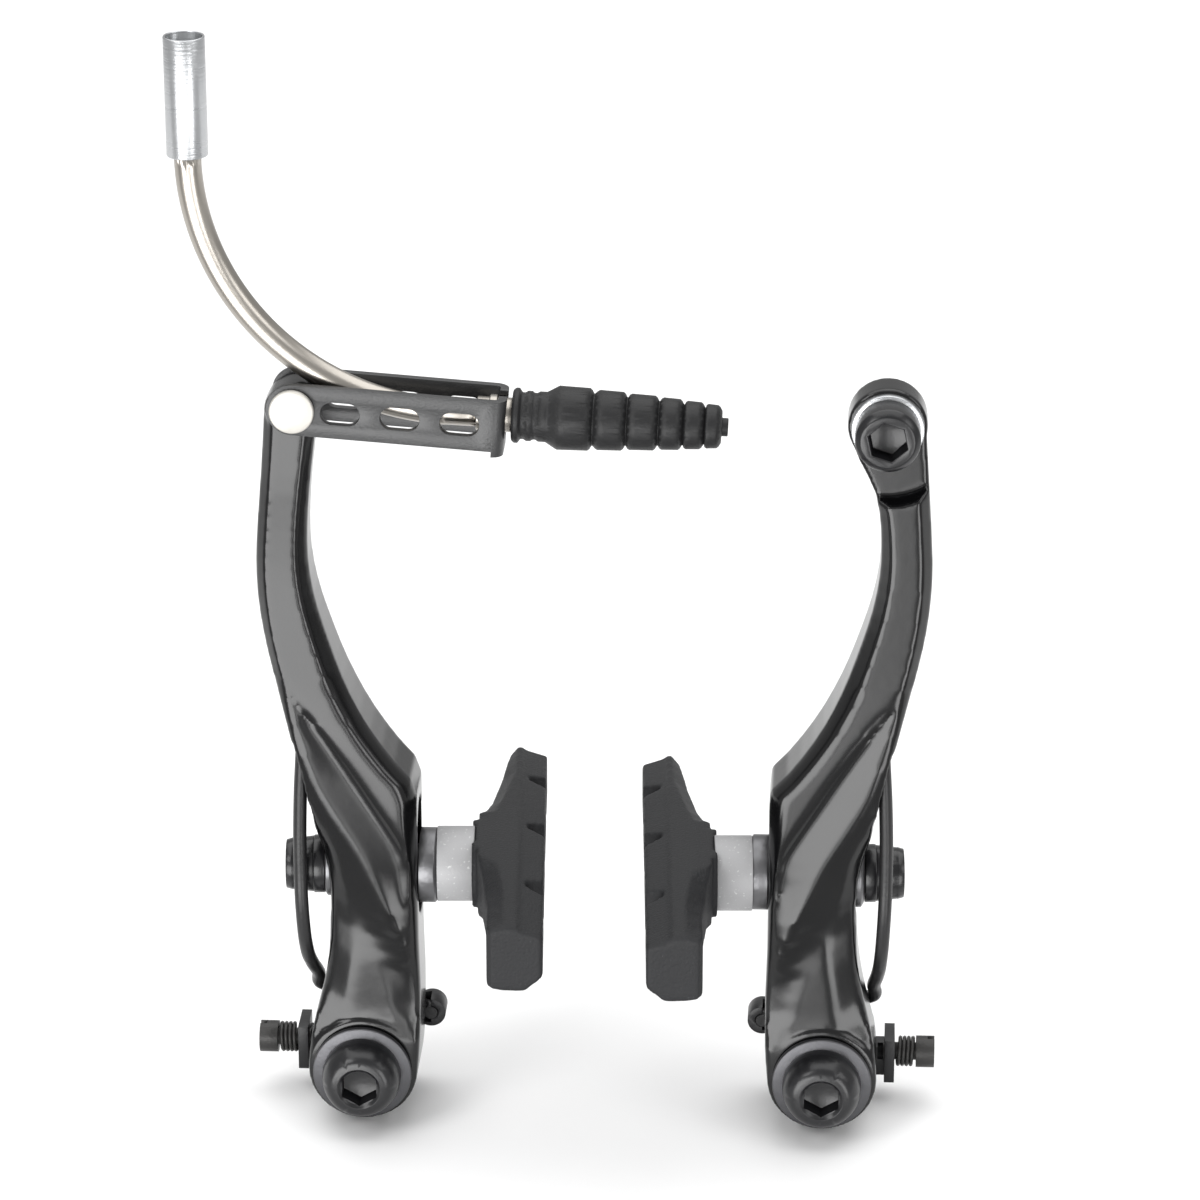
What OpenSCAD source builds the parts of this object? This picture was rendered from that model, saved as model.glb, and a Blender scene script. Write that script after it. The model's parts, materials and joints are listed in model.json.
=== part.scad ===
// Linear-pull bicycle brake: two mirrored arms, cable noodle, link, boot and brake pads.
// Millimetres. +X runs from the noodle arm to the anchor arm, +Y points at the frame or fork,
// +Z points up the arms. The origin is on the first arm's pivot axis, at the back face of its
// bush, where the bush meets the shoulder of the frame's boss.

/* [Arm spacing] */
// Distance between the two pivot axes as the arms are stored
pivot_spacing = 67.4; // [64:0.2:84]

/* [Pivot bush and bolt] */
// Diameter of the frame boss that the bush slides over
boss_d = 8; // [7.9:0.05:8.2]
// Outer diameter of the bush that the arm turns on
bush_d = 11; // [10.4:0.1:11.2]
// Radial running clearance of the arm on its bush
bush_clear = 0.05; // [0.02:0.01:0.1]
// Thickness of the arm at its pivot
hub_depth = 12.5; // [11:0.5:14]
// Diameter of the arm's round pivot hub
hub_d = 16; // [15.2:0.2:17]
// Diameter of the steel ring under the bolt head
ring_d = 14.5; // [13.6:0.1:15]
// Thickness of the steel ring
ring_t = 1; // [0.8:0.1:1.6]
// Thread diameter of the pivot bolt
bolt_d = 6; // [5:0.5:6.4]
// Diameter of the domed bolt head
bolt_head_d = 11.5; // [10:0.5:12.5]
// Height of the domed bolt head
bolt_head_h = 5; // [4:0.5:6]
// How far the thread stops short of the bush's back face
bolt_short = 0; // [0:0.5:6]
// Width across flats of the hexagon sockets
hex_af = 5; // [4:0.5:5]
// Depth of the hexagon sockets
hex_depth = 3.2; // [2.5:0.1:3.6]

/* [Return spring] */
// Wire diameter of the return spring
wire_d = 2; // [1.6:0.1:2.2]
// Thickness of the moulded spring base behind the arm
base_t = 3.7; // [3.4:0.1:3.7]
// Outer radius of the spring base's plate
base_r = 7.7; // [7:0.1:7.9]
// Height above the pivot where the wire's tip is tucked into the arm
spring_tip_z = 51.2; // [48:0.4:53]
// Depth plane of the wire in front of the pad nut
spring_front_y = -14.9; // [-15.2:0.1:-14.8]

/* [Tension screw] */
// Height of the screw's axis relative to the pivot
screw_z = -1.5; // [-2.5:0.1:-0.5]
// Thread diameter of the tension screw
screw_d = 2.6; // [2:0.1:3]
// Diameter of the screw's head
screw_head_d = 4.7; // [4:0.1:5]
// Length of the screw's head
screw_head_l = 2.7; // [2:0.1:3.5]
// Length of the small coil spring under the head
screw_spring_l = 3.2; // [3:0.1:4]
// Distance of the lug's inner face from the pivot
lug_x = 9.2; // [9.2:0.1:10]
// Thickness of the lug that the screw is threaded in
lug_t = 1.5; // [1.2:0.1:2.2]

/* [Pad position] */
// Height of the pad stud above the pivot
stud_z = 29.9; // [27:0.1:32]
// Thread diameter of the pad stud
stud_d = 5.9; // [5.5:0.1:6]
// Lower end of the height slot, below the stud's axis
slot_below = 3.5; // [2:0.5:4]
// Upper end of the height slot, above the stud's axis
slot_above = 7; // [4:0.5:7.5]
// Width of the height slot
slot_w = 7.6; // [7.2:0.1:8]
// Yaw of the first arm's pad as its washers hold it
near_pad_yaw = 3; // [-4:0.5:4]
// Yaw of the second arm's pad as its washers hold it
far_pad_yaw = 3; // [-4:0.5:4]

/* [Brake pad] */
// Distance of the friction face from the pivot axis
pad_face_x = 26.4; // [25:0.2:28]
// Length of the pad ahead of its stud
pad_front = 29; // [26:0.5:32]
// Length of the pad behind its stud
pad_rear = 36.5; // [32:0.5:38]
// Height of the pad
pad_h = 10.5; // [9.5:0.1:12]
// Depth of the friction part
pad_friction_t = 3.8; // [3:0.1:4.5]
// Radius of the rim that the pad is curved to
rim_r = 280; // [240:5:320]
// Width of the water grooves
groove_w = 3.2; // [2:0.1:4]
// Depth of the water grooves
groove_depth = 2.6; // [1.5:0.1:3]
// Spacing of the water grooves
groove_pitch = 19; // [16:0.5:20]

/* [Spacer and washers] */
// Diameter of the spacer and of the domed washer inside the arm
spacer_d = 11; // [10:0.2:12]
// Distance from the pivot axis to the spacer's pad end
spacer_end_x = 16.2; // [15.5:0.1:17]
// Rim thickness of the inner domed washer
dome_rim_t = 2.3; // [1.6:0.1:2.6]
// Diameter of the washers outside the arm
outer_washer_d = 9.6; // [9.2:0.1:10]
// Rim thickness of the outer domed washer
outer_rim_t = 1; // [0.8:0.1:1.4]
// Gap between the mating spherical faces
sphere_gap = 0.05; // [0.03:0.01:0.1]
// Distance from the pivot axis to the pad nut's outer end
nut_end_x = 11.3; // [10.8:0.1:12.5]
// Diameter of the pad nut beside its washer
nut_d = 8.2; // [7.6:0.1:8.4]
// Diameter of the pad nut at its outer end
nut_end_d = 7.1; // [6.6:0.1:7.6]

/* [Link] */
// Distance of the link pin outward of the pivot
pin_out = 8.5; // [7.5:0.1:9]
// Height of the link pin above the pivot
pin_z = 101.5; // [98:0.5:105]
// Diameter of the link pin
pin_d = 3; // [2.6:0.1:3.2]
// Diameter of the pin's flat head
pin_head_d = 6.3; // [5.5:0.1:7]
// Thickness of the pin's heads
pin_head_t = 1; // [0.8:0.1:1.4]
// Tilt of the link, nose down
link_tilt = 4.1; // [0:0.1:8]
// Length of the link from its pin to the outer face of its end wall
link_l = 29.9; // [28:0.1:32]
// Height of the link's side plates
link_h = 7.4; // [7:0.1:8]
// Sheet thickness of the link
sheet_t = 1.2; // [1:0.1:1.3]
// Thickness of the arm's tab between the side plates
tab_t = 5.6; // [5:0.1:6]
// Side clearance of the tab between the side plates
tab_gap = 0.2; // [0.1:0.05:0.4]
// Length of the slots in the side plates
link_slot_l = 5.6; // [5:0.1:6]
// Height of the slots in the side plates
link_slot_h = 3.3; // [2.5:0.1:3.6]
// Spacing of the slots
link_slot_pitch = 8.4; // [7.6:0.1:8.6]
// Number of slots in each side plate
link_slots = 3; // [1:1:3]

/* [Noodle] */
// Outer diameter of the guide tube
tube_d = 3.8; // [3.4:0.1:4]
// Wall thickness of the guide tube
tube_wall = 0.6; // [0.4:0.05:0.7]
// Centre-line radius of the guide tube's bend
bend_r = 37; // [36:0.5:42]
// Tilt of the tube's nose, down towards the boot
nose_tilt = 2.4; // [0:0.1:4]
// Height of the nose axis above the link's centre line, at the end wall
nose_rise = 0.55; // [0:0.05:0.8]
// Distance of the vertical stretch from the link pin, outward
tube_out = 14.1; // [13:0.1:16]
// Wall thickness of the liner inside the tube
liner_wall = 0.4; // [0.3:0.05:0.5]
// Outer diameter of the housing ferrule
ferrule_d = 5.8; // [5.6:0.1:6.6]
// Bore of the ferrule, for the cable housing
housing_d = 5.1; // [4.9:0.05:5.2]
// Length of the ferrule
ferrule_l = 17; // [14:0.5:22]
// Depth of the ferrule's housing bore
housing_depth = 12; // [9:0.5:12.5]
// Diameter of the tip sleeve on the tube's nose
tip_d = 4.9; // [4.6:0.1:5]
// Length of the tip sleeve beyond the end wall
tip_out = 2.6; // [1.5:0.1:3]

/* [Boot] */
// Length of the rubber boot
boot_l = 30.4; // [26:0.2:34]
// Diameter of the boot's first and largest barrel
boot_d = 9.05; // [8.4:0.05:9.6]
// Diameter of the boot's small end ring
boot_end_d = 6.3; // [5.8:0.1:6.8]
// Depth of the grooves between the rings
boot_groove = 0.8; // [0.5:0.05:0.9]
// Diameter of the cable hole through the boot
cable_hole_d = 1.6; // [1.4:0.1:1.8]
// Gap between the end wall and the boot
boot_gap = 0.8; // [0.3:0.1:1.2]

/* [Cable anchor] */
// Distance of the anchor bolt outward of its pivot
anchor_out = 7.5; // [7:0.1:8.5]
// Height of the anchor bolt above its pivot
anchor_z = 100; // [97:0.5:103]
// Radius of the arm's round top at the anchor
anchor_tab_r = 5.6; // [5.4:0.1:6]
// Diameter of the anchor bolt's thread
anchor_d = 6; // [5:0.5:6.2]
// Diameter of the anchor bolt's head
anchor_head_d = 9.2; // [8.8:0.1:10]
// Height of the anchor bolt's head
anchor_head_h = 5; // [4.5:0.1:6]
// Diameter of the cable clamp washer
clamp_d = 10.2; // [9.8:0.1:11]
// Thickness of the cable clamp washer
clamp_t = 1.3; // [1:0.1:1.6]

/* [Hidden] */

$fn = 64;
eps = 0.02;
black = "#1b1c1e";
soft_black = "#26282b";
rubber = "#37393d";
steel_grey = "#54565a";
bright_steel = "#b9b6ae";
light_alloy = "#c9cacb";

// Depth planes, all behind the front: the frame is at 0 and the viewer looks along +Y
base_gap = 0.3;
hub_back = -(base_gap * 2 + base_t);
hub_front = hub_back - hub_depth;
bush_l = -hub_front + 0.2;
mid_y = -9;
tab_back = mid_y + tab_t / 2;
tab_front = mid_y - tab_t / 2;

// Side faces of the arm where the pad is clamped, measured inward from the pivot axis
seat_in = 8.3;
seat_out = -4.2;
tilt_x = (seat_in + seat_out) / 2;
inner_r = norm([seat_in + dome_rim_t - tilt_x, spacer_d / 2]);
outer_r = norm([tilt_x - seat_out + outer_rim_t, outer_washer_d / 2]);
stud_hole_in = 8.4;
stud_hole_out = 7.9;
cup_washer_t = 2.1;
cup_r = outer_washer_d / 2 - 0.55;
cup_out = seat_out - outer_rim_t - cup_washer_t;
stud_run = 0.05;
seat_gap = 0.03;
pad_tip_x = -9;
pedestal_x = 15.8;
plate_x = 18.6;

// The link's place and the noodle's nose axis
wall_u = link_l - sheet_t / 2;
nose_u = wall_u * cos(link_tilt) + nose_rise * sin(link_tilt);
nose_w = -wall_u * sin(link_tilt) + nose_rise * cos(link_tilt);
nose_x = -pin_out + nose_u;
nose_z = pin_z + nose_w;
tube_x = -pin_out - tube_out;
bend_x = tube_x + bend_r;
// Where the bend leaves the vertical, from the nose line that it has to meet
bend_z = nose_z + (nose_x - bend_x) * tan(nose_tilt) + bend_r / cos(nose_tilt);
nose_run = (nose_x - bend_x) / cos(nose_tilt) + bend_r * tan(nose_tilt);

// Outline of the arm seen from the front: [height, distance outward of the pivot]
outer_edge = [[-2, 7.9], [4, 7.9], [9, 6.7], [14, 5.4], [19, 4.7], [26, 4.55], [32, 4.9],
    [38, 6.5], [44, 7.8], [52, 9.5], [60, 11.5], [67, 13.2], [73, 14.1], [79, 14.35],
    [86, 13.9], [94, 13.3], [104, 12.6]];
// Inner edge below the pad seat's corner, and the sweep above it: [height, distance inward]
seat_edge = [[-2, 7.9], [4, 8.4], [12, 8.5], [20, seat_in], [60, seat_in]];
sweep_edge = [[40, 13.5], [46, 6.9], [50, 3.8], [55, 0.6], [61, -2.2], [67, -4.3], [73, -6.1],
    [79, -7], [85, -6.9]];
noodle_top_edge = [[91, -6.4], [97, -5.6], [104, -5.2]];
anchor_top_edge = [[90, -6.3], [94, -4], [98, -2.2], [104, -1.9]];
// Front face of the arm, as a depth
front_face = [[0, hub_front], [22, hub_front + 0.1], [40, hub_front - 0.2],
    [52, hub_front - 0.1], [60, -16.3], [68, -15.3], [76, -14.6]];
noodle_front = [[84, -13.2], [91, tab_front - 0.1], [104, tab_front]];
anchor_front = [[84, -14.4], [104, -14.2]];
back_face = [[0, hub_back], [58, hub_back], [72, -4.8], [84, -5.8], [91, tab_back],
    [104, tab_back]];
// Three ridges that fan out of the arm's outer edge: [height, distance inward]
strip_ridge = [[34, 7.2], [37, 5.7], [47, -0.4], [54, -5], [62, -11.4], [70, -20]];
band_ridge = [[19, 7], [21, 6.4], [34, 0.6], [47.5, -7.8], [60, -16]];
low_ridge = [[6, -2.2], [14, -1.4], [21.5, -0.1], [34, -3.3], [46, -7.6], [58, -14]];
valley_ridge = [[6, 5], [13, 3.8], [21.5, 0.4], [24, -0.9], [46, -7.6], [58, -14]];

// Weighted mean of a table around a height: a smooth curve through its points
function smooth_at(t, z, w = 2.6) = (lookup(z - w, t) + 2 * lookup(z - w / 2, t)
    + 2 * lookup(z, t) + 2 * lookup(z + w / 2, t) + lookup(z + w, t)) / 8;
function catmull(a, b, c, d, t) = 0.5 * ((2 * b) + (c - a) * t
    + (2 * a - 5 * b + 4 * c - d) * t * t + (3 * b - a - 3 * c + d) * t * t * t);
function route(p, steps) = [
    for (i = [0 : len(p) - 2], k = [0 : steps - 1])
        catmull(p[max(i - 1, 0)], p[i], p[i + 1], p[min(i + 2, len(p) - 1)], k / steps),
    p[len(p) - 1]];
function unit(v) = v / norm(v);

// One closed cross-section of an arm at height z, counted from its outer back edge
function arm_section(z, inner, front) =
    let(
        xo = -smooth_at(outer_edge, z),
        xi = min(lookup(z, seat_edge), smooth_at(concat(sweep_edge, inner), z)),
        yb = smooth_at(back_face, z),
        yf = smooth_at(concat(front_face, front), z),
        upper = lookup(z, [[46, 0], [58, 1]]),
        low = lookup(z, [[5, 0], [9, 1]]),
        side = lookup(z, [[4, 0.4], [12, 2.2], [36, 2.4], [42, 0.5], [54, 0.5], [64, 1.8]]),
        inside = lookup(z, [[4, 0.6], [14, 1.8], [44, 2.2], [64, 2.6], [90, 1.6], [104, 1]]),
        x1 = max(xo + 1.4, lookup(z, low_ridge)),
        x2 = max(x1 + 0.1, lookup(z, valley_ridge)),
        x3 = max(x2 + 0.1, lookup(z, band_ridge)),
        x4 = max(x3 + 0.1, lookup(z, strip_ridge) - 0.5),
        x6 = xi - lookup(z, [[4, 0.5], [30, 1.2], [60, 1.9], [90, 1.4]]),
        p4 = min(x4, x6 - 0.2),
        p3 = min(x3, p4 - 0.1),
        p2 = min(x2, p3 - 0.1),
        x5 = min(max(p4 + 0.1, lookup(z, strip_ridge) + 0.2), x6 - 0.1),
        crest = lookup(z, [[6, 0], [9, 1.1], [15, 1.05], [24, -0.3], [48, -0.2], [54, 0]]),
        ledge = lookup(z, [[5, 0], [9, 1.15], [15, 1.15], [24, 0.6], [30, 0.9], [58, 0.8], [62, 0]]),
        dip = lookup(z, [[5, 0], [8, 0.45], [18, 0.5], [24, 1], [40, 0.5], [50, 0]]),
        fall = lookup(z, [[5, 0], [8, 0.5], [18, 0.55], [24, 0.9], [40, 0.5], [50, 0]]),
        relief = lookup(z, [[4, 0.8], [7, 2.6], [12, 2.6], [17, 0.8]]))
    [[xo + relief, yb], [xo, yb - relief], [xo, yf + side], [x1, yf + fall], [p2, yf + dip],
     [p3, yf + crest], [p4, yf + ledge], [x5, yf + lookup(z, [[5, 0], [9, 1.2], [15, 1.2], [24, 0.65], [34, 0]])],
     [x6, yf + lookup(z, [[5, 0], [9, 1.3], [15, 1.3], [25, 0.6], [34, 0]])],
     [xi, yf + inside], [xi, yb - 0.8], [xi - 0.8, yb]];

// Solid between closed rings of points, each counter-clockwise seen from the last ring
module loft(rings) {
    n = len(rings[0]);
    m = len(rings);
    polyhedron(
        points = [for (r = rings, p = r) p],
        faces = [
            [for (i = [0 : n - 1]) i],
            for (k = [0 : m - 2], i = [0 : n - 1])
                each [[k * n + i, (k + 1) * n + i, k * n + (i + 1) % n],
                      [k * n + (i + 1) % n, (k + 1) * n + i, (k + 1) * n + (i + 1) % n]],
            [for (i = [0 : n - 1]) (m - 1) * n + n - 1 - i]],
        convexity = 8);
}

// Round wire along a list of points
module wire(path, r, sides = 8, ref = [0, 1, 0]) {
    last = len(path) - 1;
    loft([for (k = [0 : last])
        let(
            t = unit(path[min(k + 1, last)] - path[max(k - 1, 0)]),
            u = unit(cross(t, ref)),
            v = cross(t, u))
        [for (i = [0 : sides - 1]) let(a = 360 * i / sides)
            path[k] + r * (cos(a) * u + sin(a) * v)]]);
}

// Cylinders along the frame's axes, from a start plane and a length
module rod_y(r, from, to, at = [0, 0], r2 = -1) {
    translate([at[0], from, at[1]]) rotate([from > to ? 90 : -90, 0, 0])
        cylinder(r1 = r, r2 = r2 < 0 ? r : r2, h = abs(to - from));
}
module rod_x(r, from, to, at = [0, 0], r2 = -1) {
    translate([from, at[0], at[1]]) rotate([0, 90, 0])
        cylinder(r1 = r, r2 = r2 < 0 ? r : r2, h = to - from);
}
module hex_y(af, from, to, at = [0, 0]) {
    translate([at[0], from, at[1]]) rotate([90, 30, 0])
        cylinder(d = af / cos(30), h = from - to, $fn = 6);
}
module on_right() {
    translate([pivot_spacing, 0, 0]) mirror([1, 0, 0]) children();
}
module pad_frame(yaw) {
    translate([tilt_x, mid_y, stud_z]) rotate([0, 0, yaw]) children();
}
module link_frame() {
    translate([-pin_out, mid_y, pin_z]) rotate([0, link_tilt, 0]) children();
}
module nose_frame() {
    translate([nose_x, mid_y, nose_z]) rotate([0, nose_tilt, 0]) children();
}

// Spring steel wire: out of the base, forward round the pad nut and up into the arm
spring_path = [[7.9, -2.3, 3.6], [5.4, -2.3, 5.4], [1.5, -2.3, 7.05], [-3.2, -2.3, 7.1],
    [-6.9, -3, 7.1], [-7.4, -6.6, 11], [-7.9, -10.4, 14.5], [-8.2, -13.4, 18],
    [-8.5, spring_front_y, 23.5], [-8.7, spring_front_y, 32], [-8.5, spring_front_y, 42],
    [-7.95, spring_front_y, spring_tip_z]];
spring_end = [9, 3.2];
lug_front = -4;

module arm_body(top, inner, front) {
    rows = 40;
    color(black) difference() {
        union() {
            loft([for (k = [0 : rows]) let(z = top[1] * k / rows)
                [for (p = arm_section(z, inner, front)) [p[0], p[1], z]]]);
            rod_y(hub_d / 2, hub_back, hub_front);
            children(0);
        }
        rod_y(bush_d / 2 + bush_clear, 1, hub_front - 1);
        // Height slot for the pad stud, and flat seats for its washers
        for (z = [stud_z - slot_below, stud_z + slot_above])
            rod_x(slot_w / 2, -20, 20, [mid_y, z]);
        translate([-20, mid_y - slot_w / 2, stud_z - slot_below])
            cube([40, slot_w, slot_below + slot_above]);
        for (z = [stud_z - slot_below, stud_z + slot_above]) {
            rod_x(outer_washer_d / 2 + 0.3, -20, seat_out, [mid_y, z]);
            rod_x(spacer_d / 2 + 0.3, seat_in, 20, [mid_y, z]);
        }
        translate([-20, mid_y - outer_washer_d / 2 - 0.3, stud_z - slot_below])
            cube([20 + seat_out, outer_washer_d + 0.6, slot_below + slot_above]);
        // Pocket that holds the return spring's tip against the outer edge
        translate([-20, spring_front_y - wire_d / 2 - 0.2, 36])
            cube([20 - 8.5 + wire_d / 2 + 0.8, wire_d + 0.4, spring_tip_z + 0.6 - 36]);
        children(1);
    }
}

module left_arm() {
    tab_r = 3.3;
    arm_body([-pin_out, pin_z], noodle_top_edge, noodle_front) {
        for (k = [0, 1])
            rod_y(tab_r, tab_back, tab_front, [-pin_out - 0.8 * k, pin_z - 0.5 * k]);
        rod_y(pin_d / 2 + 0.03, 1, -20, [-pin_out, pin_z]);
    }
}

module right_arm() {
    on_right() arm_body([-anchor_out, anchor_z], anchor_top_edge, anchor_front) {
        rod_y(anchor_tab_r, tab_back, tab_front, [-anchor_out, anchor_z]);
        union() {
            rod_y(anchor_d / 2 + 0.03, 1, -20, [-anchor_out, anchor_z]);
            // Scooped step that lets the clamp washer and the cable lie on the tab
            rod_y(anchor_tab_r + 4.6, tab_front, tab_front - 8, [-anchor_out, anchor_z],
                anchor_tab_r + 7);
        }
    }
}

module bush() {
    color(steel_grey) difference() {
        rod_y(bush_d / 2, 0, -bush_l);
        rod_y(boss_d / 2, 1, -bush_l - 1);
    }
}
module pivot_ring() {
    color(steel_grey) difference() {
        rod_y(ring_d / 2, -bush_l, -bush_l - ring_t);
        rod_y(bolt_d / 2 + 0.6, 0, -bush_l - ring_t - 1);
    }
}
module pivot_bolt() {
    seat = -bush_l - ring_t;
    rim = 0.9;
    crown_r = bolt_head_d / 2;
    flat_r = hex_af / 2 + 0.75;
    color(soft_black) difference() {
        translate([0, seat, 0]) rotate([90, 0, 0]) rotate_extrude()
            polygon([[0, 0], [crown_r, 0], [crown_r, rim],
                for (a = [10 : 10 : 80])
                    [flat_r + (crown_r - flat_r) * cos(a),
                     rim + (bolt_head_h - rim) * sin(a)],
                [flat_r, bolt_head_h], [0, bolt_head_h]]);
        hex_y(hex_af, seat - bolt_head_h + hex_depth, seat - bolt_head_h - 1);
        rod_y(flat_r - 0.55, seat - bolt_head_h + 0.45, seat - bolt_head_h - eps, [0, 0],
            flat_r - 0.05);
    }
    color(soft_black) rod_y(bolt_d / 2, -bolt_short, seat);
}

module spring_base() {
    plate_back = -base_gap;
    plate_front = plate_back - 0.9;
    front = plate_back - base_t;
    color(soft_black) difference() {
        union() {
            rod_y(base_r, plate_back, plate_front);
            rod_y(bush_d / 2 + 0.55, plate_back, front);
            // Full-depth lower half
            intersection() {
                rod_y(base_r, plate_back, front);
                translate([-10, front, -10]) cube([20, base_t, 10]);
            }
            // Lug for the tension screw
            translate([-lug_x - lug_t, -6.4, -5.4]) cube([lug_t, 6.4 - base_gap, 6.8]);
            translate([-lug_x - eps, front, -5.4]) cube([lug_x - 5.6, base_t, 4.6]);
            // Socket for the spring's lower end
            rod_y(2.2, plate_back, lug_front, spring_end);
            translate([5.6, plate_front, 0.6]) cube([3.4, 0.9, 4.4]);
        }
        rod_y(bush_d / 2 + 0.03, 1, -10);
        rod_y(wire_d / 2 + 0.08, plate_front, -10, spring_end);
        translate([6, plate_front - 3.2, 1.6]) cube([3, 3.2, 4.2]);
        rod_x(screw_d / 2 + 0.03, -20, -lug_x + 1, [-3.6, screw_z]);
    }
}
module return_spring() {
    color(soft_black) union() {
        wire(route(spring_path, 4), wire_d / 2);
        rod_y(wire_d / 2, -1.25, lug_front - 0.1, spring_end);
        rod_x(wire_d / 2 - 0.05, spring_path[0][0] - 0.6, spring_end[0], [-2.3, 3.35]);
    }
}
module tension_screw() {
    head_x = -lug_x - lug_t - screw_spring_l;
    color(soft_black) difference() {
        union() {
            rod_x(screw_d / 2, head_x - eps, -lug_x + 0.2, [-3.6, screw_z]);
            rod_x(screw_head_d / 2, head_x - screw_head_l, head_x, [-3.6, screw_z]);
        }
        translate([head_x - screw_head_l - 1, -3.6 - 0.45, screw_z - 4]) cube([2, 0.9, 8]);
    }
}
module screw_spring() {
    coil_wire = 0.6;
    turns = 4;
    per_turn = 12;
    coil_r = (screw_head_d - coil_wire) / 2 - 0.05;
    run = screw_spring_l - coil_wire - 0.1;
    start = -lug_x - lug_t - screw_spring_l + coil_wire / 2 + 0.05;
    color(soft_black) wire([for (k = [0 : turns * per_turn])
        [start + run * k / (turns * per_turn),
         -3.6 + coil_r * cos(360 * k / per_turn),
         screw_z + coil_r * sin(360 * k / per_turn)]], coil_wire / 2, 6, [1, 0, 0]);
}

module inner_dome_washer() {
    color(steel_grey) translate([0, mid_y, stud_z]) difference() {
        intersection() {
            translate([tilt_x, 0, 0]) rotate([0, 90, 0]) sphere(inner_r);
            rod_x(spacer_d / 2, seat_in + seat_gap, 20);
        }
        rod_x(stud_hole_in / 2, 0, 20);
    }
}
module outer_dome_washer() {
    color(steel_grey) translate([0, mid_y, stud_z]) difference() {
        intersection() {
            translate([tilt_x, 0, 0]) rotate([0, 90, 0]) sphere(outer_r);
            rod_x(outer_washer_d / 2, -20, seat_out - seat_gap);
        }
        rod_x(stud_hole_out / 2, -20, 0);
    }
}
module spacer(yaw) {
    color(light_alloy) pad_frame(yaw) difference() {
        rod_x(spacer_d / 2, 4, spacer_end_x - tilt_x);
        rotate([0, 90, 0]) sphere(inner_r + sphere_gap);
        rod_x(stud_d / 2 + stud_run, 0, 20);
    }
}
module outer_cup_washer(yaw) {
    color(soft_black) pad_frame(yaw) difference() {
        rod_x(cup_r, cup_out - tilt_x, -4);
        rotate([0, 90, 0]) sphere(outer_r + sphere_gap);
        rod_x(stud_d / 2 + stud_run, -20, 0);
    }
}
module pad_nut(yaw) {
    end = -nut_end_x - tilt_x;
    flange = 0.9;
    color(soft_black) pad_frame(yaw) difference() {
        union() {
            rod_x(nut_end_d / 2, end, end + flange, [0, 0], nut_end_d / 2 + 0.25);
            rod_x(nut_end_d / 2 + 0.2, end + flange - eps, cup_out - seat_gap - tilt_x, [0, 0],
                nut_d / 2);
        }
        rod_x(stud_d / 2 + stud_run, pad_tip_x - tilt_x, 0);
        translate([end - 1, 0, 0]) rotate([0, 90, 0])
            cylinder(d = hex_af / cos(30), h = pad_tip_x - tilt_x - end + 1 + eps, $fn = 6);
    }
}
module pad_stud(yaw) {
    color(steel_grey) pad_frame(yaw) {
        rod_x(stud_d / 2, pad_tip_x + 0.1 - tilt_x, plate_x - tilt_x);
        translate([plate_x - tilt_x - eps, -10, -3.2]) cube([1.6, 20, 6.4]);
    }
}

// Pad outline seen from above: [distance behind the stud, distance of the back inward]
pad_back = [[-pad_front, 18.4], [-20, 18.4], [-10.5, 17.4], [-7.2, pedestal_x + 0.9],
    [7.2, pedestal_x + 0.9], [11, 17.6], [24, 19.6], [pad_rear, 20.8]];
function pad_drop(y) = sqrt(rim_r * rim_r - y * y) - rim_r;
function pad_section(y, end) =
    let(
        b = lookup(y, pad_back) - tilt_x,
        f = pad_face_x - tilt_x,
        m = f - pad_friction_t,
        h = pad_h / 2,
        w = h * lookup(y, [[-28, 0.86], [-14, 0.5], [-7, 0.95], [7, 0.95], [14, 0.5], [30, 0.7]]),
        s = pad_drop(y))
    [[b + end * 0.6, -w + s], [b + end * 0.6, w + s], [min(b + 2.4, m - 0.6), h - end * 0.4 + s],
     [m, h - end * 0.5 + s], [m + 0.5, h - 0.5 - end * 0.5 + s], [f, h - 1.6 - end * 0.4 + s],
     [f, -h + 2.4 + s], [m + 1.3, -h + s + end * 0.5], [m, -h + s + end * 0.4],
     [min(b + 2.4, m - 0.6), -h + s + end * 0.5]];
module pad(yaw) {
    ys = [-pad_front, -pad_front + 0.9, for (y = [-24 : 4 : -12]) y, -10.5, -7.2, 0, 7.2, 11,
        for (y = [16 : 4 : 32]) y, pad_rear - 0.9, pad_rear];
    color(rubber) pad_frame(yaw) difference() {
        union() {
            loft([for (y = ys)
                [for (p = pad_section(y, y == ys[0] || y == pad_rear ? 1 : 0)) [p[0], y, p[1]]]]);
            // Raised round seat for the spacer, as tall as the pad
            intersection() {
                rod_x(6.7, pedestal_x - tilt_x, plate_x - 0.3 - tilt_x);
                translate([0, -8, -pad_h / 2 + 0.15]) cube([30, 16, pad_h - 0.3]);
            }
        }
        rod_x(spacer_d / 2 + 0.3, 0, spacer_end_x + 0.02 - tilt_x);
        rod_x(stud_d / 2 + eps, 0, plate_x - tilt_x);
        translate([plate_x - tilt_x - 2 * eps, -10 - eps, -3.2 - eps])
            cube([1.6 + 2 * eps, 20 + 2 * eps, 6.4 + 2 * eps]);
        // Water grooves, cut as a V with a narrow floor
        for (k = [-1 : 1])
            translate([pad_face_x - tilt_x, 3.7 + k * groove_pitch, -15]) linear_extrude(30)
                polygon([[1, -groove_w / 2 - 1], [-groove_depth, -0.7], [-groove_depth, 0.7],
                    [1, groove_w / 2 + 1]]);
    }
}

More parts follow.
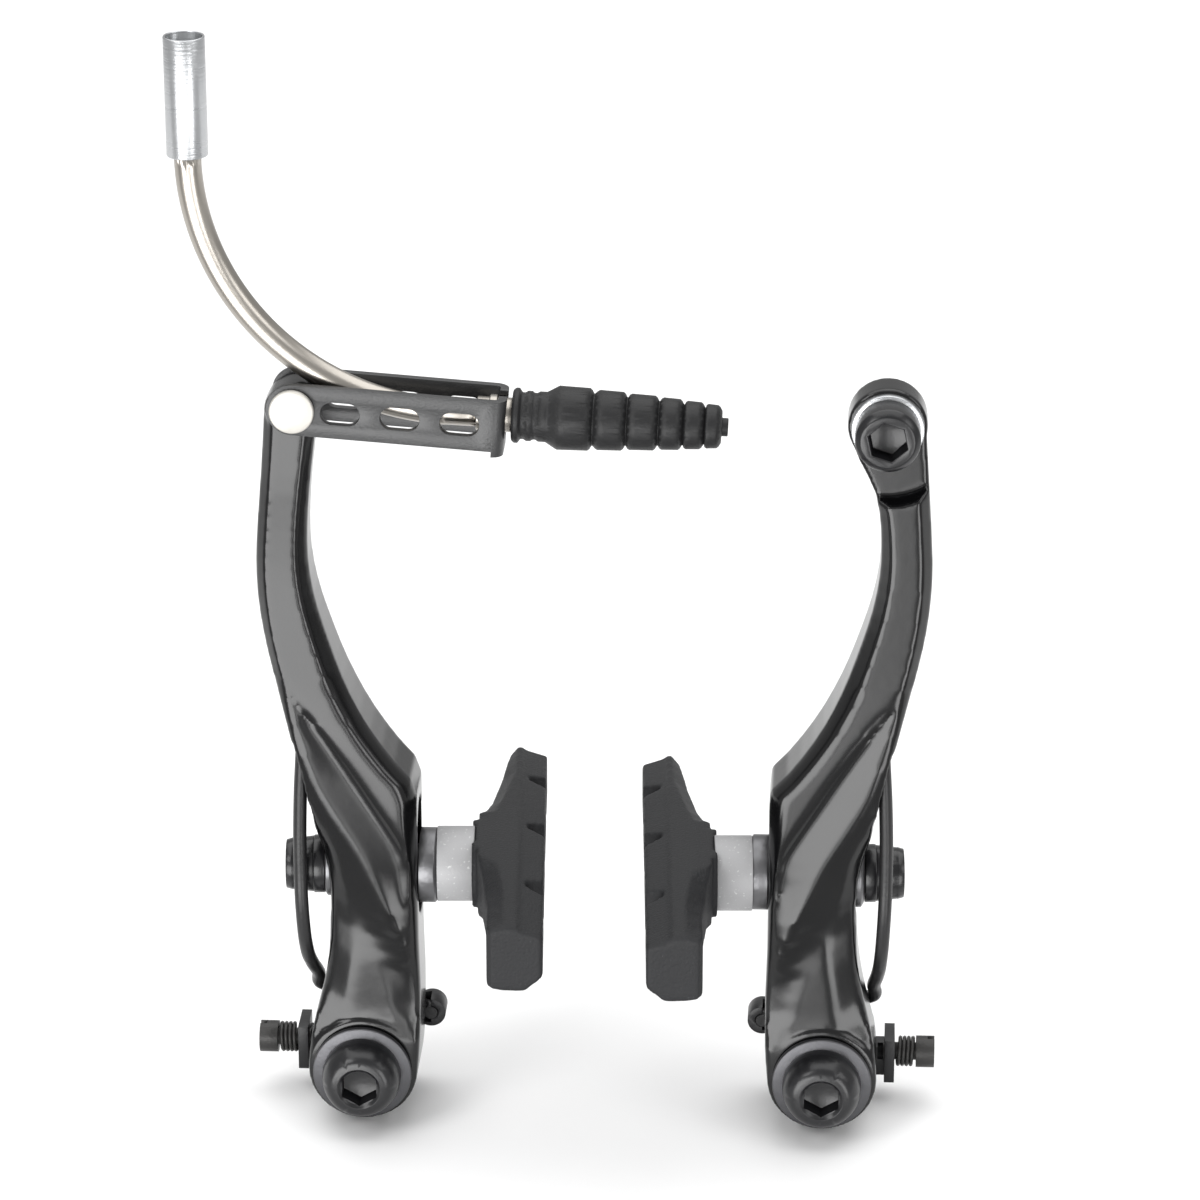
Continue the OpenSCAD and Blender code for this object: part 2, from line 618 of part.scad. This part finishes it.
// Folded sheet seen from above: two side plates joined by the end wall
module link_bracket() {
    half = tab_t / 2 + tab_gap;
    bend = 1.8;
    foot = 0.8;
    color(soft_black) link_frame() difference() {
        intersection() {
            translate([0, 0, -12]) linear_extrude(24) difference() {
                union() {
                    translate([-12, -half - sheet_t]) square([link_l + 12 - bend, 2 * (half + sheet_t)]);
                    translate([0, -half - sheet_t + bend])
                        square([link_l, 2 * (half + sheet_t - bend)]);
                    for (s = [-1, 1])
                        translate([link_l - bend, s * (half + sheet_t - bend)]) circle(bend);
                }
                translate([-13, -half]) square([link_l + 13 - sheet_t - bend + sheet_t, 2 * half]);
                translate([-13, -half + bend - sheet_t])
                    square([link_l + 13 - sheet_t, 2 * (half - bend + sheet_t)]);
                for (s = [-1, 1])
                    translate([link_l - bend, s * (half + sheet_t - bend)]) circle(bend - sheet_t);
            }
            translate([0, 10, 0]) rotate([90, 0, 0]) linear_extrude(20) union() {
                circle(link_h / 2);
                translate([0, -link_h / 2]) square([link_l + 1, link_h]);
                translate([link_l - 1.7, -link_h / 2 - foot]) square([3, foot + 1]);
            }
        }
        for (k = [0 : link_slots - 1])
            translate([6.75 + k * link_slot_pitch, 0, 0]) {
                for (s = [-1, 1])
                    rod_y(link_slot_h / 2, 10, -10, [s * (link_slot_l - link_slot_h) / 2, 0]);
                translate([-(link_slot_l - link_slot_h) / 2, -10, -link_slot_h / 2])
                    cube([link_slot_l - link_slot_h, 20, link_slot_h]);
            }
        rod_y(pin_d / 2 + 0.06, 10, -10);
        // Hole for the noodle's nose, with a slot that lets the cable lift out
        rod_x(tip_d / 2 + 0.25, link_l - 4, link_l + 1, [0, nose_rise]);
        translate([link_l - sheet_t - 0.5, -1.2, nose_rise]) cube([sheet_t + 2, 2.4, link_h]);
    }
}
module link_pin() {
    half = tab_t / 2 + tab_gap + sheet_t + 0.1;
    color(bright_steel) translate([-pin_out, mid_y, pin_z]) {
        rod_y(pin_d / 2, half, -half);
        rod_y(pin_head_d / 2, -half, -half - pin_head_t);
        rod_y(pin_head_d / 2 - 0.6, half, half + pin_head_t * 0.7);
    }
}

// Shared route of the tube and its liner: a straight nose, one bend and a straight rise
module bend_part(r) {
    translate([bend_x, mid_y, bend_z]) rotate([90, 0, 0]) rotate([0, 0, 180])
        rotate_extrude(angle = 90 - nose_tilt) translate([bend_r, 0]) circle(r);
}
module noodle_route(r_out, r_in, rise, nose) {
    difference() {
        bend_part(r_out);
        bend_part(r_in);
    }
    // The straight ends are a hair thinner than the bend, as drawn ends are
    translate([tube_x, mid_y, bend_z]) difference() {
        cylinder(r = r_out - eps, h = rise);
        translate([0, 0, -1]) cylinder(r = r_in + eps, h = rise + 2);
    }
    nose_frame() difference() {
        rod_x(r_out - eps, -nose_run, nose);
        rod_x(r_in + eps, -nose_run - 1, nose + 1);
    }
}
ferrule_seat = ferrule_l - housing_depth - 1;
module noodle_tube() {
    color(bright_steel) noodle_route(tube_d / 2, tube_d / 2 - tube_wall, ferrule_seat, tip_out - 0.5);
}
module noodle_liner() {
    r = tube_d / 2 - tube_wall - 0.05;
    color("white") noodle_route(r, r - liner_wall, ferrule_seat, tip_out - 0.6);
}
module noodle_ferrule() {
    color(light_alloy) translate([tube_x, mid_y, bend_z]) difference() {
        cylinder(d = ferrule_d, h = ferrule_l);
        translate([0, 0, ferrule_l - housing_depth]) cylinder(d = housing_d, h = housing_depth + 1);
        translate([0, 0, -1]) cylinder(d = tube_d, h = ferrule_seat + 1);
        cylinder(d = tube_d - 2 * tube_wall - 0.2, h = ferrule_l);
    }
}
module noodle_tip() {
    color(bright_steel) nose_frame() difference() {
        union() {
            rod_x(tip_d / 2, -3.6, tip_out);
            rod_x(tip_d / 2 + 0.35, -sheet_t / 2 - 1.2, -sheet_t / 2 - 0.15);
        }
        rod_x(tube_d / 2, -6, tip_out - 0.5);
        rod_x(tube_d / 2 - tube_wall, 0, tip_out + 1);
    }
}

// Bellows outline: a lip, a neck, the barrel and five shrinking rings
ring_ends = [11.1, 15.8, 20.3, 23.8, 26.8, 29.2];
ring_starts = [6.2, 11.9, 16.4, 20.9, 24.3, 27.2];
function ring_d(k) = boot_d + (boot_end_d - boot_d) * (k / 5);
module boot() {
    start = sheet_t / 2 + boot_gap;
    k = boot_l / 30.4;
    color("#1c1d1f") nose_frame() difference() {
        translate([start, 0, 0]) rotate([0, 90, 0]) rotate_extrude()
            polygon([[0, 0], [3.55, 0], [3.9, 0.4], [3.9, 0.9], [3.3, 1.3], [3.3, 1.7],
                [3.55, 2.1], [3.55, 2.7], [3.3, 3], [3.3, 3.4], [3.55, 3.8], [3.55, 4.8],
                for (i = [0 : 5]) each [
                    [ring_d(i) / 2 - 0.15, ring_starts[i] * k],
                    [ring_d(i) / 2, ring_starts[i] * k + 0.3],
                    [ring_d(i) / 2 - 0.1, ring_ends[i] * k - 0.3],
                    [ring_d(i) / 2 - 0.35, ring_ends[i] * k],
                    [ring_d(i) / 2 - boot_groove - 0.1, ring_ends[i] * k + 0.3]],
                [1.3, 29.5 * k], [1.3, boot_l], [0, boot_l]]);
        rod_x(tip_d / 2 + 0.2, 0, start + tip_out + 0.4);
        rod_x(1.6, start + tip_out + 0.3, start + 24 * k);
        rod_x(cable_hole_d / 2, start + 20 * k, start + boot_l + 1);
    }
}

module clamp_washer() {
    color(light_alloy) on_right() difference() {
        rod_y(clamp_d / 2, tab_front, tab_front - clamp_t, [-anchor_out, anchor_z]);
        rod_y(anchor_d / 2 + 0.15, 0, -20, [-anchor_out, anchor_z]);
    }
}
module anchor_bolt() {
    seat = tab_front - clamp_t;
    bevel = 0.8;
    at = [-anchor_out, anchor_z];
    color(soft_black) on_right() difference() {
        union() {
            rod_y(anchor_d / 2, tab_back - 0.4, seat, at);
            rod_y(anchor_head_d / 2, seat, seat - anchor_head_h + bevel, at);
            rod_y(anchor_head_d / 2, seat - anchor_head_h + bevel, seat - anchor_head_h, at,
                anchor_head_d / 2 - bevel);
        }
        translate([at[0], 0, at[1]]) rotate([0, 12, 0])
            hex_y(hex_af, seat - anchor_head_h + hex_depth, seat - anchor_head_h - 1);
    }
}

left_arm();
bush();  // left_bush
pivot_ring();  // left_pivot_ring
pivot_bolt();  // left_pivot_bolt
spring_base();  // left_spring_base
return_spring();  // left_return_spring
tension_screw();  // left_tension_screw
screw_spring();  // left_screw_spring
inner_dome_washer();  // left_inner_dome_washer
outer_dome_washer();  // left_outer_dome_washer
spacer(near_pad_yaw);  // left_spacer
outer_cup_washer(near_pad_yaw);  // left_outer_cup_washer
pad_nut(near_pad_yaw);  // left_pad_nut
pad_stud(near_pad_yaw);  // left_pad_stud
pad(near_pad_yaw);  // left_pad
right_arm();
on_right() bush();  // right_bush
on_right() pivot_ring();  // right_pivot_ring
on_right() pivot_bolt();  // right_pivot_bolt
on_right() spring_base();  // right_spring_base
on_right() return_spring();  // right_return_spring
on_right() tension_screw();  // right_tension_screw
on_right() screw_spring();  // right_screw_spring
on_right() inner_dome_washer();  // right_inner_dome_washer
on_right() outer_dome_washer();  // right_outer_dome_washer
on_right() spacer(-far_pad_yaw);  // right_spacer
on_right() outer_cup_washer(-far_pad_yaw);  // right_outer_cup_washer
on_right() pad_nut(-far_pad_yaw);  // right_pad_nut
on_right() pad_stud(-far_pad_yaw);  // right_pad_stud
on_right() pad(-far_pad_yaw);  // right_pad
link_bracket();
link_pin();
noodle_tube();
noodle_liner();
noodle_ferrule();
noodle_tip();
boot();
anchor_bolt();
clamp_washer();
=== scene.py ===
import bpy
import json
from math import radians
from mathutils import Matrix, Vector


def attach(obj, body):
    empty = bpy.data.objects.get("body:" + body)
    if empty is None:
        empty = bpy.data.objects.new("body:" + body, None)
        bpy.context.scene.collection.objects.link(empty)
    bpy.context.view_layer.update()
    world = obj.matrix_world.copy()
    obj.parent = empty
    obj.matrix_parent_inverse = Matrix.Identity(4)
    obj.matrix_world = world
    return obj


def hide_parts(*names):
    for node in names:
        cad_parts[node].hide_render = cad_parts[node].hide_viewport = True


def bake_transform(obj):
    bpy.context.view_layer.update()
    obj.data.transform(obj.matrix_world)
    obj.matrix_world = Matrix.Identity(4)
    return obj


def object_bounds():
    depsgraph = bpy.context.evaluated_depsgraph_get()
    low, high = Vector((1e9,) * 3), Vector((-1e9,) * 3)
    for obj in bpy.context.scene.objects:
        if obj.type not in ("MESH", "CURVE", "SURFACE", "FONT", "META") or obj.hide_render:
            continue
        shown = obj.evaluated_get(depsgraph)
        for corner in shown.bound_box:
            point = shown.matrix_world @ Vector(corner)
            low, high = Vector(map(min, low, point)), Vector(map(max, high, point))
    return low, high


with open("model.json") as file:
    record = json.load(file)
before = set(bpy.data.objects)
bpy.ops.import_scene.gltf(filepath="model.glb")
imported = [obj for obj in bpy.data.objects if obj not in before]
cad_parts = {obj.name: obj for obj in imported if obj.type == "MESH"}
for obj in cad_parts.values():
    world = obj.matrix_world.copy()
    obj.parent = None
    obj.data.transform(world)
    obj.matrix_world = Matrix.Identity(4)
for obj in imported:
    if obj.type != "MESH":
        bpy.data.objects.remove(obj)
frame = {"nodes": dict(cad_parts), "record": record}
cadBox = [list(corner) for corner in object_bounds()]
bodyOf = {node: body for body, nodes in frame["record"]["behaviour"]["bodies"].items() for node in nodes}


# Camera, light and floor

cameraSet = {
    "place": (0.068422, -0.656139, 0.333914),
    "turn": (68, 0, 3),           # degrees
    "lens": 147,
    "sensor": 36,
    "nearest": 0.01,
}
lightSet = {
    # place, width and height, power
    "top": ((0.03, 0.20, 1.10), (1.60, 1.60), 15.0),
    "key": ((-0.42, -0.50, 0.55), (0.30, 0.30), 1.6),
    "fill": ((0.60, -0.30, 0.40), (0.30, 0.30), 0.8),
    # Low upright panels in front: the arms' front facets mirror them, the tilted ones the dimmer room
    "leftPanel": ((-0.17, -0.46, -0.04), (0.38, 0.32), 2.60),
    "midPanel": ((0.066, -0.46, -0.04), (0.05, 0.32), 0.20),
    "rightPanel": ((0.285, -0.44, -0.04), (0.16, 0.32), 0.95),
}
lightAim = (0.034, -0.008, 0.06)
worldLight = 0.55
# The floor starts just in front of the brake, so that the panels reach the foot of the arms
floorSet = {"size": 6.0, "below": 0.001, "front": -0.046, "color": (0.90, 0.90, 0.90)}


def makeStage():
    bpy.ops.object.camera_add(location=cameraSet["place"], rotation=[radians(a) for a in cameraSet["turn"]])
    camera = bpy.context.object
    camera.data.lens = cameraSet["lens"]
    camera.data.sensor_width = cameraSet["sensor"]
    camera.data.clip_start = cameraSet["nearest"]
    bpy.context.scene.camera = camera
    for name, (place, size, power) in lightSet.items():
        bpy.ops.object.light_add(type="AREA", location=place)
        light = bpy.context.object
        light.name = name
        light.data.shape = "RECTANGLE"
        light.data.size, light.data.size_y = size
        light.data.energy = power
        light.rotation_euler = (Vector(lightAim) - Vector(place)).to_track_quat("-Z", "Y").to_euler()
    world = bpy.data.worlds.new("studio")
    bpy.context.scene.world = world
    world.use_nodes = True
    room = world.node_tree.nodes["Background"]
    room.inputs["Color"].default_value = (1, 1, 1, 1)
    room.inputs["Strength"].default_value = worldLight
    bpy.ops.object.select_all(action="DESELECT")
    low = cadBox[0][2] - floorSet["below"]
    middle = floorSet["front"] + floorSet["size"] / 2
    bpy.ops.mesh.primitive_plane_add(size=floorSet["size"], location=(0, middle, low))
    floor = bpy.context.object
    floor.name = "floor"
    bpy.ops.object.transform_apply(location=True, rotation=True, scale=True)
    bpy.context.scene.view_settings.view_transform = "Standard"
    return floor


# Shader maths: an expression on sockets adds its nodes

class Wire:
    def __init__(self, tree, out):
        self.tree = tree
        self.out = out

    def math(self, how, other, swap=False):
        pair = (other, self) if swap else (self, other)
        return addNode(self.tree, "ShaderNodeMath", {"operation": how}, {0: pair[0], 1: pair[1]})

    def __add__(self, other):
        return self.math("ADD", other)

    def __radd__(self, other):
        return self.math("ADD", other, True)

    def __sub__(self, other):
        return self.math("SUBTRACT", other)

    def __rsub__(self, other):
        return self.math("SUBTRACT", other, True)

    def __mul__(self, other):
        return self.math("MULTIPLY", other)

    def __rmul__(self, other):
        return self.math("MULTIPLY", other, True)

    def __gt__(self, other):
        return self.math("GREATER_THAN", other)


def addNode(tree, kind, settings=None, inputs=None, output=0):
    node = tree.nodes.new(kind)
    for key, value in (settings or {}).items():
        setattr(node, key, value)
    for key, value in (inputs or {}).items():
        if isinstance(value, Wire):
            tree.links.new(value.out, node.inputs[key])
        elif isinstance(value, tuple) and len(value) == 3 and node.inputs[key].type == "RGBA":
            node.inputs[key].default_value = (*value, 1)
        else:
            node.inputs[key].default_value = value
    return Wire(tree, node.outputs[output])


surfaceSet = {
    "coatRough": 0.12,
    "cloud": 90.0,                # scale of the slow cloudiness
    "bump": 0.6,
    "bumpDepth": 0.0002,
}


# grain: scale and depth; specks: scale, threshold and tint; lines: stretch, scale, depth, roughness
def finish(name, color, rough, metal=0.0, coat=0.0, grain=None, specks=None, lines=None,
           blotch=0.12, spec=0.5, ior=1.5, tone=0.14):
    mat = bpy.data.materials.new(name)
    mat.use_nodes = True
    tree = mat.node_tree
    shader = tree.nodes["Principled BSDF"]
    place = addNode(tree, "ShaderNodeTexCoord", output=3)
    shader.inputs["Metallic"].default_value = metal
    shader.inputs["Coat Weight"].default_value = coat
    shader.inputs["Coat Roughness"].default_value = surfaceSet["coatRough"]
    shader.inputs["Specular IOR Level"].default_value = spec
    shader.inputs["IOR"].default_value = ior
    # Slow cloudiness, so that no face is one flat tone
    cloud = addNode(tree, "ShaderNodeTexNoise",
                    inputs={"Vector": place, "Scale": surfaceSet["cloud"], "Detail": 4.0})
    roughness = rough + (cloud - 0.5) * blotch
    shade = addNode(tree, "ShaderNodeMix", {"data_type": "RGBA"}, {
        0: cloud, 6: tuple(c * (1 - tone) for c in color),
        7: tuple(min(c * (1 + tone), 1) for c in color)}, output=2)
    if specks:
        size, share, tint = specks
        dots = addNode(tree, "ShaderNodeTexNoise", inputs={"Vector": place, "Scale": size, "Detail": 2.0})
        mask = dots > share
        shade = addNode(tree, "ShaderNodeMix", {"data_type": "RGBA"}, {0: mask, 6: shade, 7: tint}, output=2)
    tree.links.new(shade.out, shader.inputs["Base Color"])
    height = None
    if grain:
        size, depth = grain
        height = addNode(tree, "ShaderNodeTexNoise",
                         inputs={"Vector": place, "Scale": size, "Detail": 3.0}) * depth
    if lines:
        stretch, size, depth, amount = lines   # turned or drawn lines: noise squeezed across one axis
        squeezed = addNode(tree, "ShaderNodeMapping", inputs={"Vector": place, "Scale": stretch})
        drawn = addNode(tree, "ShaderNodeTexNoise", inputs={"Vector": squeezed, "Scale": size, "Detail": 3.0})
        height = drawn * depth if height is None else height + drawn * depth
        roughness = roughness + (drawn - 0.5) * amount
    tree.links.new(roughness.out, shader.inputs["Roughness"])
    if height is not None:
        bump = addNode(tree, "ShaderNodeBump", inputs={
            "Height": height, "Strength": surfaceSet["bump"], "Distance": surfaceSet["bumpDepth"]})
        tree.links.new(bump.out, shader.inputs["Normal"])
    return mat


armPaint = finish("armPaint", (0.0022, 0.0022, 0.0025), 0.19, spec=0.45, grain=(520.0, 0.08), blotch=0.06)
linkPaint = finish("linkPaint", (0.018, 0.0183, 0.019), 0.42, spec=0.65, grain=(2600.0, 0.35), blotch=0.12)
blackHardware = finish("blackHardware", (0.007, 0.007, 0.008), 0.30, coat=0.1, spec=0.4,
                       grain=(1500.0, 0.18), blotch=0.16)
springBlack = finish("springBlack", (0.009, 0.009, 0.0095), 0.36, spec=0.4, grain=(1800.0, 0.25), blotch=0.14)
screwOxide = finish("screwOxide", (0.028, 0.027, 0.026), 0.46, metal=0.35, grain=(2400.0, 0.5), blotch=0.3)
baseMoulding = finish("baseMoulding", (0.008, 0.008, 0.009), 0.40, spec=0.4, grain=(1700.0, 0.30),
                      blotch=0.15)
ringSteel = finish("ringSteel", (0.085, 0.085, 0.09), 0.42, metal=0.85, grain=(2200.0, 0.3), blotch=0.22)
gunMetal = finish("gunMetal", (0.15, 0.15, 0.155), 0.36, metal=0.9,
                  lines=((1, 1, 1), 1500.0, 0.3, 0.2), blotch=0.2)
spacerAlloy = finish("spacerAlloy", (0.33, 0.33, 0.335), 0.55, metal=0.2, spec=0.3, grain=(2400.0, 0.35),
                     specks=(2100.0, 0.68, (0.48, 0.48, 0.48)), blotch=0.2)
drawnTube = finish("drawnTube", (0.39, 0.365, 0.33), 0.30, metal=1.0,
                   lines=((60, 60, 900), 3.0, 0.05, 0.08), blotch=0.08)
ferruleAlloy = finish("ferruleAlloy", (0.48, 0.49, 0.50), 0.30, metal=0.95,
                      lines=((12, 12, 1400), 2.2, 0.35, 0.22), blotch=0.12)
pinNickel = finish("pinNickel", (0.47, 0.455, 0.42), 0.40, metal=0.35, grain=(1300.0, 0.25), blotch=0.2)
linerPlastic = finish("linerPlastic", (0.80, 0.80, 0.76), 0.4, blotch=0.1)
padRubber = finish("padRubber", (0.012, 0.0123, 0.0135), 0.60, spec=0.3, grain=(2600.0, 1.0), blotch=0.14,
                   specks=(3000.0, 0.72, (0.03, 0.031, 0.034)))
bootRubber = finish("bootRubber", (0.0075, 0.0075, 0.008), 0.50, spec=0.35, grain=(2200.0, 0.35), blotch=0.16)
floorPaper = finish("floorPaper", floorSet["color"], 0.9, blotch=0.02, spec=0.1, tone=0)


# Every node gets its edges broken or softened, and its finish

dressing = {
    # what the name ends with: finish, edge in metres, angle that stays a crease
    "arm": (armPaint, 0.00040, 60),
    "bush": (ringSteel, 0.0001, 30),
    "pivot_ring": (ringSteel, 0.00018, 30),
    "pivot_bolt": (blackHardware, 0.00018, 32),
    "spring_base": (baseMoulding, 0.00022, 30),
    "tension_screw": (screwOxide, 0.00018, 30),
    "screw_spring": (screwOxide, 0, 70),
    "inner_dome_washer": (gunMetal, 0.0001, 30),
    "outer_dome_washer": (gunMetal, 0.0001, 30),
    "spacer": (spacerAlloy, 0.0002, 30),
    "outer_cup_washer": (blackHardware, 0.00018, 30),
    "pad_nut": (blackHardware, 0.00020, 32),
    "pad_stud": (ringSteel, 0.0001, 30),
    "pad": (padRubber, 0.00030, 60),
    "link_bracket": (linkPaint, 0.00016, 30),
    "link_pin": (pinNickel, 0.00022, 30),
    "noodle_tube": (drawnTube, 0, 40),
    "noodle_liner": (linerPlastic, 0, 40),
    "noodle_ferrule": (ferruleAlloy, 0.00022, 30),
    "noodle_tip": (drawnTube, 0.00012, 30),
    "boot": (bootRubber, 0.00012, 40),
    "anchor_bolt": (blackHardware, 0.00020, 32),
    "clamp_washer": (ferruleAlloy, 0.00016, 30),
}
castSet = {
    "pieces": ("arm", "pad"),      # forged and moulded skins, with every edge softened
    "voxel": 0.00034,
    "ease": 0.5,
    "perPass": 0.00006,            # metres of edge that one pass softens
    "fewest": 2,
    "facets": (0.0085, 0.062, -0.0140),   # an arm's facets: lowest, highest, and how far forward
    "facetPasses": 28,
}
edgeSet = {
    "weld": 0.000004,
    "flat": 0.6,                   # degrees under which faces join
    "segments": 2,
    "past": 8,                     # degrees over the crease that are still shaded smooth
}


def ease(piece, name, passes, group=""):
    easer = piece.modifiers.new(name, "SMOOTH")
    easer.factor = castSet["ease"]
    easer.iterations = passes
    easer.vertex_group = group
    bpy.ops.object.modifier_apply(modifier=easer.name)


def castSkin(piece, softness):
    mesher = piece.modifiers.new("skin", "REMESH")
    mesher.mode = "VOXEL"
    mesher.voxel_size = castSet["voxel"]
    bpy.ops.object.modifier_apply(modifier=mesher.name)
    ease(piece, "softEdges", max(castSet["fewest"], round(softness / castSet["perPass"])))
    # The facets of an arm's front run into one another, so that stretch is eased further
    low, high, behind = castSet["facets"]
    facets = [v.index for v in piece.data.vertices if low < v.co.z < high and v.co.y < behind]
    if facets and "arm" in piece.name:
        piece.vertex_groups.new(name="facets").add(facets, 1, "REPLACE")
        ease(piece, "softFacets", castSet["facetPasses"], "facets")


def lonely(piece):
    bpy.ops.object.select_all(action="DESELECT")
    piece.select_set(True)
    bpy.context.view_layer.objects.active = piece


def dress(node):
    key = max((k for k in dressing if node.endswith(k)), key=len)
    mat, edge, crease = dressing[key]
    source = frame["nodes"][node]
    piece = bpy.data.objects.new(node + "_finish", source.data.copy())
    bpy.context.scene.collection.objects.link(piece)
    lonely(piece)
    bpy.ops.object.mode_set(mode="EDIT")
    bpy.ops.mesh.select_all(action="SELECT")
    bpy.ops.mesh.remove_doubles(threshold=edgeSet["weld"])
    if key not in castSet["pieces"]:
        bpy.ops.mesh.dissolve_limited(angle_limit=radians(edgeSet["flat"]))
    bpy.ops.object.mode_set(mode="OBJECT")
    if key in castSet["pieces"]:
        castSkin(piece, edge)
    elif edge:
        rounder = piece.modifiers.new("brokenEdges", "BEVEL")
        rounder.width = edge
        rounder.segments = edgeSet["segments"]
        rounder.limit_method = "ANGLE"
        rounder.angle_limit = radians(crease)
        rounder.use_clamp_overlap = True
        bpy.ops.object.modifier_apply(modifier=rounder.name)
    bpy.ops.object.shade_smooth_by_angle(angle=radians(crease + edgeSet["past"]))
    piece.data.materials.clear()
    piece.data.materials.append(mat)
    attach(piece, bodyOf[node])
    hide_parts(node)


# The return springs: a round wire from its foot in the base up along the arm, mirrored for the right side

springSet = {
    "wire": 0.001,
    "mirrorAt": 0.0674,            # the right pivot
    "foot": 0.0040,                # below this height the wire stays with the pivot
    "bound": 0.0160,               # above this height it goes with the arm
    "sides": 5,
    "steps": 8,
    "crease": 50,
}
# The left wire's centre line in millimetres, from the socket in the base to the arm's pocket
springRoute = [(9.0, -4.1, 3.2), (9.0, -2.7, 3.2), (8.6, -2.3, 3.35), (7.9, -2.3, 3.6), (5.4, -2.3, 5.4),
               (1.5, -2.3, 7.05), (-3.2, -2.3, 7.1), (-6.9, -3, 7.1), (-7.4, -6.6, 11), (-7.9, -10.4, 14.5),
               (-8.2, -13.4, 18), (-8.5, -14.9, 23.5), (-8.7, -14.9, 32), (-8.5, -14.9, 42),
               (-7.95, -14.9, 51.2)]


def makeSpring(side):
    curve = bpy.data.curves.new(side + "ReturnSpring", "CURVE")
    curve.dimensions = "3D"
    curve.bevel_depth = springSet["wire"]
    curve.bevel_resolution = springSet["sides"]
    curve.resolution_u = springSet["steps"]
    curve.use_fill_caps = True
    line = curve.splines.new("BEZIER")
    line.bezier_points.add(len(springRoute) - 1)
    for knot, (x, y, z) in zip(line.bezier_points, springRoute):
        across = springSet["mirrorAt"] - x / 1000 if side == "right" else x / 1000
        knot.co = (across, y / 1000, z / 1000)
        knot.handle_left_type = knot.handle_right_type = "AUTO"
    wire = bpy.data.objects.new(side + "_return_spring_finish", curve)
    bpy.context.scene.collection.objects.link(wire)
    lonely(wire)
    bpy.ops.object.convert(target="MESH")
    wire = bpy.context.object
    bpy.ops.object.shade_smooth_by_angle(angle=radians(springSet["crease"]))
    wire.data.materials.clear()
    wire.data.materials.append(springBlack)
    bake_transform(wire)
    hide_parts(side + "_return_spring")


floor = makeStage()
floor.data.materials.append(floorPaper)
print("stage is set")
for node in sorted(frame["nodes"]):
    if not node.endswith("return_spring"):
        dress(node)
print("nodes are dressed")
for side in ("left", "right"):
    makeSpring(side)
print("springs are wound")
